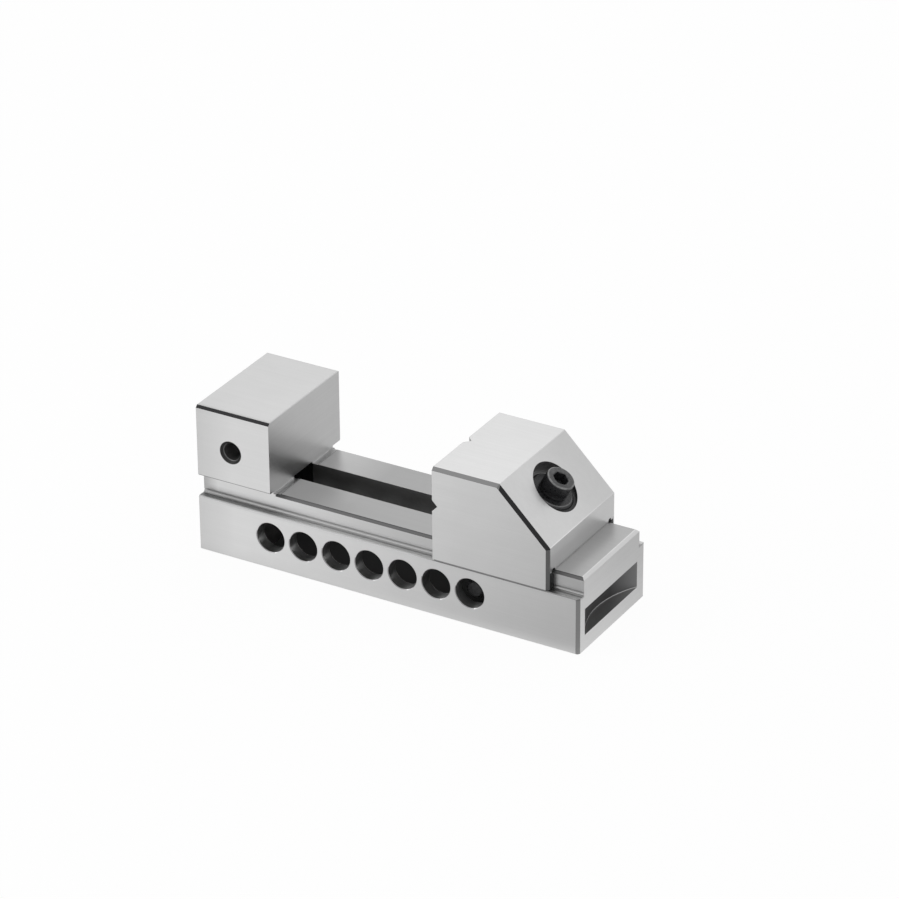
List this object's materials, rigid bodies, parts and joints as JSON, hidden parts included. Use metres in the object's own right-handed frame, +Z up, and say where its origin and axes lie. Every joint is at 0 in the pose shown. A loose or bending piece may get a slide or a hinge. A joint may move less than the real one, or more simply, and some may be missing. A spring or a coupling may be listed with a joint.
{
  "type": "toolmakers vise",
  "caption": "Precision toolmaker's vise of ground steel: body with fixed jaw, sliding jaw drawn down by one inclined cap screw, pull-down pin in notches under the rail.",
  "frame": {"origin": "bottom centre of the bounding box, on the body's bottom face under the middle of its length", "axes": "+X along the body from the fixed jaw to the open end, +Y across the width, +Z up out of the rail"},
  "size_m": [0.2364, 0.073, 0.089],
  "materials": {
    "ground_steel": "hardened and fine ground, grain along the length",
    "black_oxide_steel": "black oxide, slightly glossy",
    "spring_steel": "oiled spring wire"
  },
  "bodies": {
    "base": {"body": "ground_steel"},
    "jaw": {"movable_jaw": "ground_steel"},
    "swivel": {"ball_washer": "black_oxide_steel", "release_spring": "spring_steel"},
    "screw": {"clamp_screw": "black_oxide_steel"},
    "drawbar": {"draw_nut": "black_oxide_steel", "cross_pin": "black_oxide_steel", "grub_screw": "black_oxide_steel"}
  },
  "joints": [
    {"name": "jaw_slide", "type": "slide", "parent": "base", "child": "jaw", "axis": [1, 0, 0], "range_m": [-0.1016, 0]},
    {"name": "screw_lean", "type": "hinge", "parent": "jaw", "child": "swivel", "pos_m": [0.0865, 0, 0.07939], "axis": [0, 1, 0], "range_deg": [-1, 1]},
    {"name": "screw_turn", "type": "hinge", "parent": "swivel", "child": "screw", "pos_m": [0.0865, 0, 0.07939], "axis": [-0.5, 0, -0.866], "range_deg": [0, 900]},
    {"name": "nut_draw", "type": "slide", "parent": "swivel", "child": "drawbar", "axis": [0.5, 0, 0.866], "range_m": [0, 0.00375], "deforming": ["release_spring"]}
  ],
  "couplings": [
    {"joint": "screw_turn", "follows": "nut_draw", "rad_per_m": 4188.8}
  ]
}
